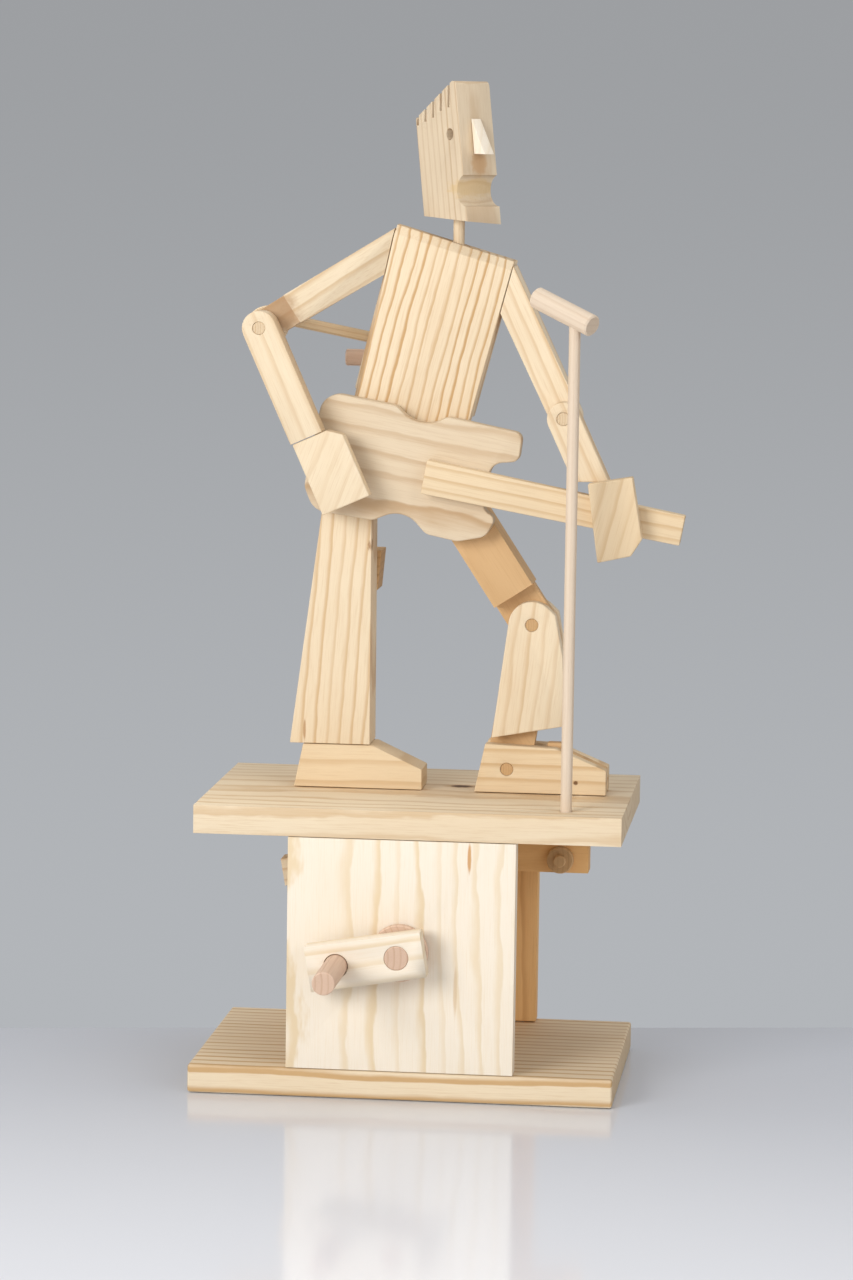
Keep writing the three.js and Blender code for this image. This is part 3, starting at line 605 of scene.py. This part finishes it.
@dataclass
class Stand(Assembly):
    """The base board, the two panels and the deck.

    Args:
        board_easing: Rounding of the wide boards' edges.
        panel_easing: Rounding of the panels' edges.
    """

    board_easing: float = 0.0009
    panel_easing: float = 0.0003

    def build(self) -> list[bpy.types.Object]:
        """Make the four boards.

        Returns:
            The finished pieces.
        """
        # A small very dark ragged patch on the deck's top near the right heel: painted shade inside a small
        # hole.
        hole_shade = MarkOrShade(
            centre=(0.0145, 0.0104, 0.1026), radii=(0.0048, 0.003, 0.004), colour=(88, 58, 30),
            strength=0.95, ragged=0.9,
        )
        halo = MarkOrShade(
            centre=(0.0145, 0.0104, 0.1026), radii=(0.008, 0.0048, 0.003), colour=(190, 150, 100),
            strength=0.5, ragged=0.8,
        )
        resin = MarkOrShade(
            centre=(0.0238, -0.05, 0.0868), radii=(0.0008, 0.003, 0.0062), colour=(203, 147, 82),
            strength=0.85, ragged=0.4,
        )
        seam = MarkOrShade(
            centre=(0.0195, -0.05, 0.0395), radii=(0.0008, 0.003, 0.0105), colour=(205, 168, 112),
            strength=0.45, ragged=0.5,
        )
        deck = Cut(
            Tone.PINE, ACROSS, pith=(0.0, 0.2, -1.0), distance=0.034, ring=0.0058, wander=0.012,
            contrast=0.8, seed=3.0, marks_and_shade=(halo, hole_shade),
        )
        base = Cut(
            Tone.PINE, ACROSS, pith=(0.0, 1.0, -0.35), distance=0.075, ring=0.0052, wander=0.004,
            contrast=1.5, seed=8.0,
        )
        front = Cut(
            Tone.PALE, UPRIGHT, pith=(0.7, 0.9, 0.0), distance=0.075, ring=0.0052, wander=0.012,
            contrast=1.1, seed=5.0, marks_and_shade=(resin, seam),
        )
        # The back panel's tone is partly the wood's amber and partly painted shade.
        back = Cut(
            Tone.TAWNY_PART_SHADE, UPRIGHT, pith=(-1.0, 0.4, 0.0), distance=0.05, ring=0.0048, wander=0.007,
            contrast=0.9, seed=6.0,
        )
        return [
            self.shop.board("base_board", base, self.board_easing),
            self.shop.board("top_deck", deck, self.board_easing),
            self.shop.board("front_panel", front, self.panel_easing),
            self.shop.board("back_panel", back, self.panel_easing),
        ]


@dataclass
class Crank(Assembly):
    """The handle, arm, shaft, cams and collars.

    Args:
        easing: Rounding of the arm's edges.
    """

    easing: float = 0.0002

    def build(self) -> list[bpy.types.Object]:
        """Make the turning parts.

        Returns:
            The finished pieces.
        """
        rose = Cut(
            Tone.ROSE, DEEP, pith=ACROSS, distance=0.02, ring=0.0022, wander=0.002, contrast=0.8, seed=2.0,
        )
        plain = Cut(
            Tone.BEECH, DEEP, pith=ACROSS, distance=0.03, ring=0.002, wander=0.002, contrast=0.6, seed=4.0,
        )
        disc = Cut(
            Tone.PINE, ACROSS, pith=UPRIGHT, distance=0.03, ring=0.004, wander=0.004, contrast=0.8,
            seed=9.0,
        )
        arm = Cut(
            Tone.PALE, (0.985, 0.0, 0.167), pith=(0.0, 0.25, -1.0), distance=0.03, ring=0.0062,
            wander=0.005, contrast=1.0, seed=7.0,
        )
        made = [self.shop.board("crank_arm", arm, self.easing)]
        made += [self.shop.board(name, disc, 0.0003) for name in ("foot_cam", "strum_cam")]
        made.append(self.shop.bar("crank_shaft", rose, DEEP, 0.0003, SHAFT_SWELL))
        made += [self.shop.bar(name, rose, DEEP, 0.0003) for name in ("crank_handle", "crank_spacer")]
        made += [self.shop.bar(name, plain) for name in ("shaft_collar_front", "shaft_collar_rear")]
        return made


@dataclass
class Levers(Assembly):
    """The two levers under the deck with their pivots and the roller pin.

    Args:
        easing: Rounding of the beams' edges.
    """

    easing: float = 0.0004

    def build(self) -> list[bpy.types.Object]:
        """Make the levers and the round pieces on them.

        Returns:
            The finished pieces.
        """
        # The foot lever's tone is partly the wood's amber and partly painted shade from its place under the
        # deck.
        foot = Cut(
            Tone.TAWNY_PART_SHADE, ACROSS, pith=DEEP, distance=0.05, ring=0.004, wander=0.004, contrast=0.9,
            seed=11.0,
        )
        strum = Cut(
            Tone.PINE, (0.985, 0.0, 0.17), pith=UPRIGHT, distance=0.05, ring=0.004, wander=0.004,
            contrast=0.9, seed=12.0,
        )
        round_wood = Cut(
            Tone.AMBER, DEEP, pith=ACROSS, distance=0.02, ring=0.0018, wander=0.002, contrast=0.7,
            seed=13.0,
        )
        beams = {"foot_lever": foot, "strum_lever": strum}
        made = [self.shop.board(name, cut, self.easing) for name, cut in beams.items()]
        names = [f"{lever}_{part}" for lever in ("foot_lever", "strum_lever")
                 for part in ("pivot", "pivot_collar_front", "pivot_collar_rear")]
        names += ["foot_lever_pin", "foot_lever_roller_front", "foot_lever_roller_rear"]
        return made + [self.shop.bar(name, round_wood) for name in names]


@dataclass
class PushRods(Assembly):
    """The rods that carry the levers' motion up, the tee bar and the guide.

    Args:
        easing: Rounding of the guide block.
    """

    easing: float = 0.0004

    def build(self) -> list[bpy.types.Object]:
        """Make the rods, the tee bar and the guide.

        Returns:
            The finished pieces.
        """
        rod = Cut(
            Tone.PINE, UPRIGHT, pith=ACROSS, distance=0.04, ring=0.0021, wander=0.002, contrast=0.7,
            seed=14.0,
        )
        tee = Cut(
            Tone.ROSE, ACROSS, pith=DEEP, distance=0.03, ring=0.0018, wander=0.002, contrast=0.9,
            seed=15.0,
        )
        guide = Cut(
            Tone.AMBER, ACROSS, pith=UPRIGHT, distance=0.03, ring=0.003, wander=0.003, contrast=0.9,
            seed=16.0,
        )
        return [
            self.shop.bar("strum_rod", rod, UPRIGHT, 0.0003),
            self.shop.bar("foot_rod", rod, UPRIGHT, 0.0003),
            self.shop.bar("strum_tee_bar", tee, ACROSS, 0.0004),
            self.shop.board("rod_guide", guide, self.easing),
        ]


@dataclass
class Legs(Assembly):
    """Both legs and feet with the pins of the moving one.

    Args:
        easing: Rounding of the sawn edges.
    """

    easing: float = 0.0004

    def build(self) -> list[bpy.types.Object]:
        """Make the legs, the feet and the pins.

        Returns:
            The finished pieces.
        """
        split = MarkOrShade(
            centre=(-0.0412, -0.003, 0.1235), radii=(0.0006, 0.002, 0.0045), colour=(176, 128, 78),
            strength=0.7, ragged=0.5,
        )
        bud = MarkOrShade(
            centre=(-0.0185, -0.001, 0.1905), radii=(0.0012, 0.003, 0.0032), colour=(150, 104, 60),
            strength=0.8, ragged=0.6,
        )
        speck = MarkOrShade(
            centre=(0.0567, -0.003, 0.1072), radii=(0.001, 0.002, 0.0009), colour=(110, 72, 38),
            strength=0.9, ragged=0.5,
        )
        leg = Cut(
            Tone.PINE, (0.07, 0.0, 1.0), pith=ACROSS, distance=0.07, ring=0.0044, wander=0.007,
            contrast=0.9, seed=17.0, marks_and_shade=(split, bud),
        )
        foot = Cut(
            Tone.HONEY, ACROSS, pith=UPRIGHT, distance=0.04, ring=0.0072, wander=0.005, contrast=0.9,
            seed=18.0,
        )
        thigh = Cut(
            Tone.AMBER, (0.55, 0.0, -0.83), pith=DEEP, distance=0.024, ring=0.009, wander=0.008,
            contrast=0.45, seed=19.0,
        )
        shin = Cut(
            Tone.PINE, (-0.12, 0.0, -1.0), pith=(1.0, 0.7, 0.0), distance=0.03, ring=0.0048, wander=0.009,
            contrast=0.6, seed=20.0,
        )
        plate = Cut(
            Tone.HONEY, ACROSS, pith=UPRIGHT, distance=0.05, ring=0.0052, wander=0.003, contrast=1.0,
            seed=21.0, marks_and_shade=(speck,),
        )
        toe = Cut(
            Tone.AMBER, ACROSS, pith=UPRIGHT, distance=0.04, ring=0.004, wander=0.003, contrast=0.8,
            seed=22.0,
        )
        pin = Cut(
            Tone.AMBER, DEEP, pith=ACROSS, distance=0.01, ring=0.0009, wander=0.001, contrast=0.9,
            seed=23.0,
        )
        plan = {
            "left_leg": leg, "left_foot": foot, "right_thigh": thigh, "shin_core": thigh,
            "shin_front_plate": shin, "shin_rear_plate": shin, "right_foot_front_plate": plate,
            "right_foot_rear_plate": plate, "right_toe_block": toe,
        }
        made = [self.shop.board(name, cut, self.easing) for name, cut in plan.items()]
        pins = ("left_hip_dowel", "right_hip_pin", "knee_pin", "ankle_pin")
        return made + [self.shop.bar(name, pin, DEEP, 0.0001, PIN_SWELL) for name in pins]


@dataclass
class Trunk(Assembly):
    """The torso and the neck.

    Args:
        easing: Rounding of the torso's edges.
    """

    easing: float = 0.0009

    def build(self) -> list[bpy.types.Object]:
        """Make the torso and the neck dowel.

        Returns:
            The finished pieces.
        """
        body = Cut(
            Tone.STRIPED, (0.24, 0.0, 0.97), pith=(1.0, 0.28, 0.0), distance=0.06, ring=0.0036,
            wander=0.008, contrast=1.35, seed=24.0,
        )
        neck = Cut(
            Tone.PINE, UPRIGHT, pith=ACROSS, distance=0.03, ring=0.0018, wander=0.001, contrast=0.6,
            seed=25.0,
        )
        return [
            self.shop.board("torso", body, self.easing),
            self.shop.bar("neck_dowel", neck, UPRIGHT, 0.0003),
        ]


@dataclass
class HeadBlock(Assembly):
    """The sawn head and its nose.

    Args:
        easing: Rounding of the block's edges.
    """

    easing: float = 0.00035

    def build(self) -> list[bpy.types.Object]:
        """Make the head and the nose.

        Returns:
            The finished pieces.
        """
        low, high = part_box("nose")
        under = Vector(((low.x + high.x) / 2 - 0.002, (low.y + high.y) / 2 + 0.002, low.z - 0.0035))
        # A darker patch just below the nose: painted shadow of the nose on the head block.
        nose_shadow = MarkOrShade(
            centre=tuple(under), radii=(0.0042, 0.0042, 0.0052), colour=(196, 152, 104), strength=0.65,
            ragged=0.7,
        )
        mouth = MarkOrShade(
            centre=(under.x, under.y, under.z - 0.0085), radii=(0.012, 0.012, 0.0042),
            colour=(212, 176, 112), strength=0.45, ragged=1.1,
        )
        block = Cut(
            Tone.DRY, (-0.115, 0.128, 0.985), pith=(0.67, -0.74, 0.0), distance=0.05, ring=0.0031,
            wander=0.003, contrast=0.7, seed=26.0, marks_and_shade=(nose_shadow, mouth),
        )
        nose = Cut(
            Tone.PALE, UPRIGHT, pith=ACROSS, distance=0.03, ring=0.003, wander=0.002, contrast=0.4,
            seed=27.0,
        )
        return [self.shop.board("head", block, self.easing), self.shop.board("nose", nose, 0.0002)]


@dataclass
class Arms(Assembly):
    """Both arms with their hands, pins and the strumming dowel.

    Args:
        easing: Rounding of the sawn edges.
    """

    easing: float = 0.0005

    def build(self) -> list[bpy.types.Object]:
        """Make the arms.

        Returns:
            The finished pieces.
        """
        low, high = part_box("left_upper_arm")
        # A darker patch where the forearm laps onto the upper arm: painted shade in the lap joint.
        lap_joint_shade = MarkOrShade(
            centre=(low.x + 0.0115, low.y + 0.009, low.z + 0.0105), radii=(0.0105, 0.02, 0.0085),
            colour=(176, 138, 100), strength=0.75, ragged=0.8,
        )
        upper = Cut(
            Tone.PINE, (0.84, 0.25, 0.54), pith=(0.0, 0.3, 1.0), distance=0.04, ring=0.0054, wander=0.004,
            contrast=0.8, seed=28.0, marks_and_shade=(lap_joint_shade,),
        )
        fore = Cut(
            Tone.PINE, (0.41, 0.0, -0.91), pith=ACROSS, distance=0.04, ring=0.0058, wander=0.004,
            contrast=0.5, seed=29.0,
        )
        hand = Cut(
            Tone.PINE, (0.35, 0.0, 0.94), pith=(1.0, 0.6, 0.3), distance=0.022, ring=0.0052, wander=0.006,
            contrast=0.35, seed=30.0,
        )
        right = Cut(
            Tone.PINE, (0.42, -0.1, -0.9), pith=(1.0, 0.3, 0.0), distance=0.05, ring=0.0043, wander=0.004,
            contrast=0.9, seed=31.0,
        )
        low_right = Cut(
            Tone.PINE, (0.42, 0.0, -0.91), pith=(1.0, 0.2, 0.0), distance=0.05, ring=0.005, wander=0.004,
            contrast=0.9, seed=32.0,
        )
        palm = Cut(
            Tone.HONEY, (0.25, 0.0, 1.0), pith=(1.0, 0.5, 0.0), distance=0.03, ring=0.0056, wander=0.007,
            contrast=0.6, seed=33.0,
        )
        pin = Cut(
            Tone.PINE, DEEP, pith=ACROSS, distance=0.01, ring=0.0009, wander=0.001, contrast=0.9,
            seed=34.0,
        )
        rod = Cut(
            Tone.HONEY, ACROSS, pith=UPRIGHT, distance=0.03, ring=0.0018, wander=0.001, contrast=0.7,
            seed=35.0,
        )
        plan = {
            "left_upper_arm": upper, "left_forearm": fore, "left_hand": hand,
            "right_upper_arm": right, "right_forearm": low_right, "right_hand": palm,
        }
        made = [self.shop.board(name, cut, self.easing) for name, cut in plan.items()]
        pins = ("left_elbow_pin", "right_elbow_pin")
        made += [self.shop.bar(name, pin, DEEP, 0.0001, PIN_SWELL) for name in pins]
        made.append(self.shop.bar("left_elbow_disc", pin, DEEP, 0.0004))
        made.append(self.shop.bar("strum_arm_dowel", rod, None, 0.0003))
        return made


@dataclass
class Guitar(Assembly):
    """The sawn guitar.

    Args:
        easing: Rounding of the body's edges.
    """

    easing: float = 0.0006

    def build(self) -> list[bpy.types.Object]:
        """Make the guitar's body and neck.

        Returns:
            The finished pieces.
        """
        body = Cut(
            Tone.DRY, (0.983, 0.0, -0.182), pith=(0.0, 0.6, 1.0), distance=0.028, ring=0.0075,
            wander=0.012, contrast=1.0, seed=36.0,
        )
        neck = Cut(
            Tone.HONEY, (0.983, 0.0, -0.182), pith=UPRIGHT, distance=0.05, ring=0.0042, wander=0.004,
            contrast=0.9, seed=37.0,
        )
        return [
            self.shop.board("guitar_body", body, self.easing),
            self.shop.board("guitar_neck", neck, 0.0004),
        ]


@dataclass
class Microphone(Assembly):
    """The microphone on its stand.

    Args:
        easing: Rounding of the dowels' ends.
    """

    easing: float = 0.0005

    def build(self) -> list[bpy.types.Object]:
        """Make the two dowels.

        Returns:
            The finished pieces.
        """
        stand = Cut(
            Tone.BEECH, UPRIGHT, pith=ACROSS, distance=0.03, ring=0.0016, wander=0.001, contrast=0.5,
            seed=38.0,
        )
        top = Cut(
            Tone.BEECH, ACROSS, pith=UPRIGHT, distance=0.03, ring=0.0022, wander=0.001, contrast=0.6,
            seed=39.0,
        )
        return [
            self.shop.bar("mic_stand", stand, UPRIGHT, 0.0003),
            self.shop.bar("mic_head", top, None, self.easing),
        ]


@dataclass
class Studio:
    """The table, the grey surroundings, the lamps and the camera.

    Args:
        edge: Two points on the table's rear edge.
        reach: How far the table runs to each side and to the front.
        eye: The camera's place.
        turn: The camera's azimuth, elevation and roll, in degrees.
        lens: The focal length in millimetres.
    """

    edge: tuple = ((-0.144, 0.047), (0.136, 0.098))
    reach: float = 3.0
    eye: tuple = (0.17198, -1.51, 0.34305)
    turn: tuple = (6.42, 6.99, 0.82)
    lens: float = 120.4
    lamps: list = field(default_factory=lambda: [
        ("key", (-1.0, -1.55, 0.75), 0.9, 23.5),
        ("fill", (1.3, -1.2, 0.9), 1.1, 7.0),
        ("top", (0.1, 0.1, 1.6), 1.0, 5.5),
    ])

    def _table(self) -> None:
        """Lay the pale glossy table."""
        first, second = (Vector((x, y, 0.0)) for x, y in self.edge)
        along = (second - first).normalized()
        front = Vector((along.y, -along.x, 0.0))
        corners = [first - along * self.reach, first + along * self.reach]
        corners += [corners[1] + front * self.reach, corners[0] + front * self.reach]
        mesh = bpy.data.meshes.new("table")
        mesh.from_pydata([tuple(c - Vector((0, 0, 0.0002))) for c in corners], [], [(3, 2, 1, 0)])
        table = bpy.data.objects.new("table", mesh)
        bpy.context.scene.collection.objects.link(table)
        material = bpy.data.materials.new("lacquered_table")
        material.use_nodes = True
        material.node_tree.nodes.clear()
        w = Wiring(material.node_tree)
        spot = w.node("ShaderNodeSeparateXYZ", {0: w.node("ShaderNodeTexCoord").outputs["Object"]}).outputs
        # Lighter towards the front and darker towards the rear edge: painted falloff of light across the
        # table, not a colour of the lacquer.
        near = w.ramp(spot[1], 0.08, -0.35)
        colour = w.blend(near, linear(206, 209, 216), linear(248, 249, 253))
        faint = w.node("ShaderNodeTexNoise", {"Scale": 60.0}).outputs[0]
        rough = w.ramp(faint, 0.3, 0.7, 0.09, 0.13)
        shader = w.node("ShaderNodeBsdfPrincipled", {"Base Color": colour, "Roughness": rough})
        w.node("ShaderNodeOutputMaterial", {"Surface": shader.outputs[0]})
        mesh.materials.append(material)

    @staticmethod
    def _surroundings() -> None:
        """Set the soft ambient light and the grey seen behind the object."""
        world = bpy.data.worlds.new("studio")
        bpy.context.scene.world = world
        world.use_nodes = True
        world.node_tree.nodes.clear()
        w = Wiring(world.node_tree)
        way = w.node("ShaderNodeTexCoord").outputs["Generated"]
        height = w.node("ShaderNodeSeparateXYZ", {0: way}).outputs[2]
        share = w.ramp(height, -0.22, 0.04)
        grey = w.blend(share, linear(179, 182, 186), linear(157, 159, 162))
        rays = w.node("ShaderNodeLightPath").outputs
        seen = w.math("MAXIMUM", rays["Is Camera Ray"], rays["Is Glossy Ray"])
        colour = w.blend(seen, (0.42, 0.42, 0.43, 1.0), grey)
        light = w.node("ShaderNodeBackground", {"Color": colour, "Strength": 1.0})
        w.node("ShaderNodeOutputWorld", {"Surface": light.outputs[0]})

    def _light(self) -> None:
        """Hang the soft lamps."""
        for name, place, size, power in self.lamps:
            data = bpy.data.lights.new(name, "AREA")
            data.shape = "SQUARE"
            data.size = size
            data.energy = power
            lamp = bpy.data.objects.new(name, data)
            lamp.location = place
            aim = Vector((0.0, 0.0, 0.17)) - Vector(place)
            lamp.rotation_euler = aim.to_track_quat("-Z", "Y").to_euler()
            bpy.context.scene.collection.objects.link(lamp)

    def _camera(self) -> None:
        """Place the camera."""
        azimuth, elevation, roll = (math.radians(value) for value in self.turn)
        back = Vector((
            math.sin(azimuth) * math.cos(elevation),
            -math.cos(azimuth) * math.cos(elevation),
            math.sin(elevation),
        ))
        right = (-back).cross(Vector((0, 0, 1))).normalized()
        up = right.cross(-back)
        level = math.cos(roll) * right + math.sin(roll) * up
        raised = -math.sin(roll) * right + math.cos(roll) * up
        data = bpy.data.cameras.new("camera")
        data.lens = self.lens
        data.sensor_width = 36.0
        camera = bpy.data.objects.new("camera", data)
        pose = Matrix((level, raised, back)).transposed().to_4x4()
        camera.matrix_world = Matrix.Translation(self.eye) @ pose
        bpy.context.scene.collection.objects.link(camera)
        bpy.context.scene.camera = camera

    def build(self) -> None:
        """Set up everything round the object."""
        bpy.context.scene.view_settings.view_transform = "Standard"
        self._camera()
        self._table()
        self._surroundings()
        self._light()


def main() -> None:
    """Build the studio and every sub-assembly, and note the sizes."""
    logging.basicConfig(level=logging.INFO, format="%(name)s %(message)s")
    Studio().build()
    shop = Workshop()
    for kind in (Stand, Crank, Levers, PushRods, Legs, Trunk, HeadBlock, Arms, Guitar, Microphone):
        made = kind(shop).build()
        LOG.info("%s: %d pieces", kind.__name__, len(made))


if __name__ == "__main__":
    main()
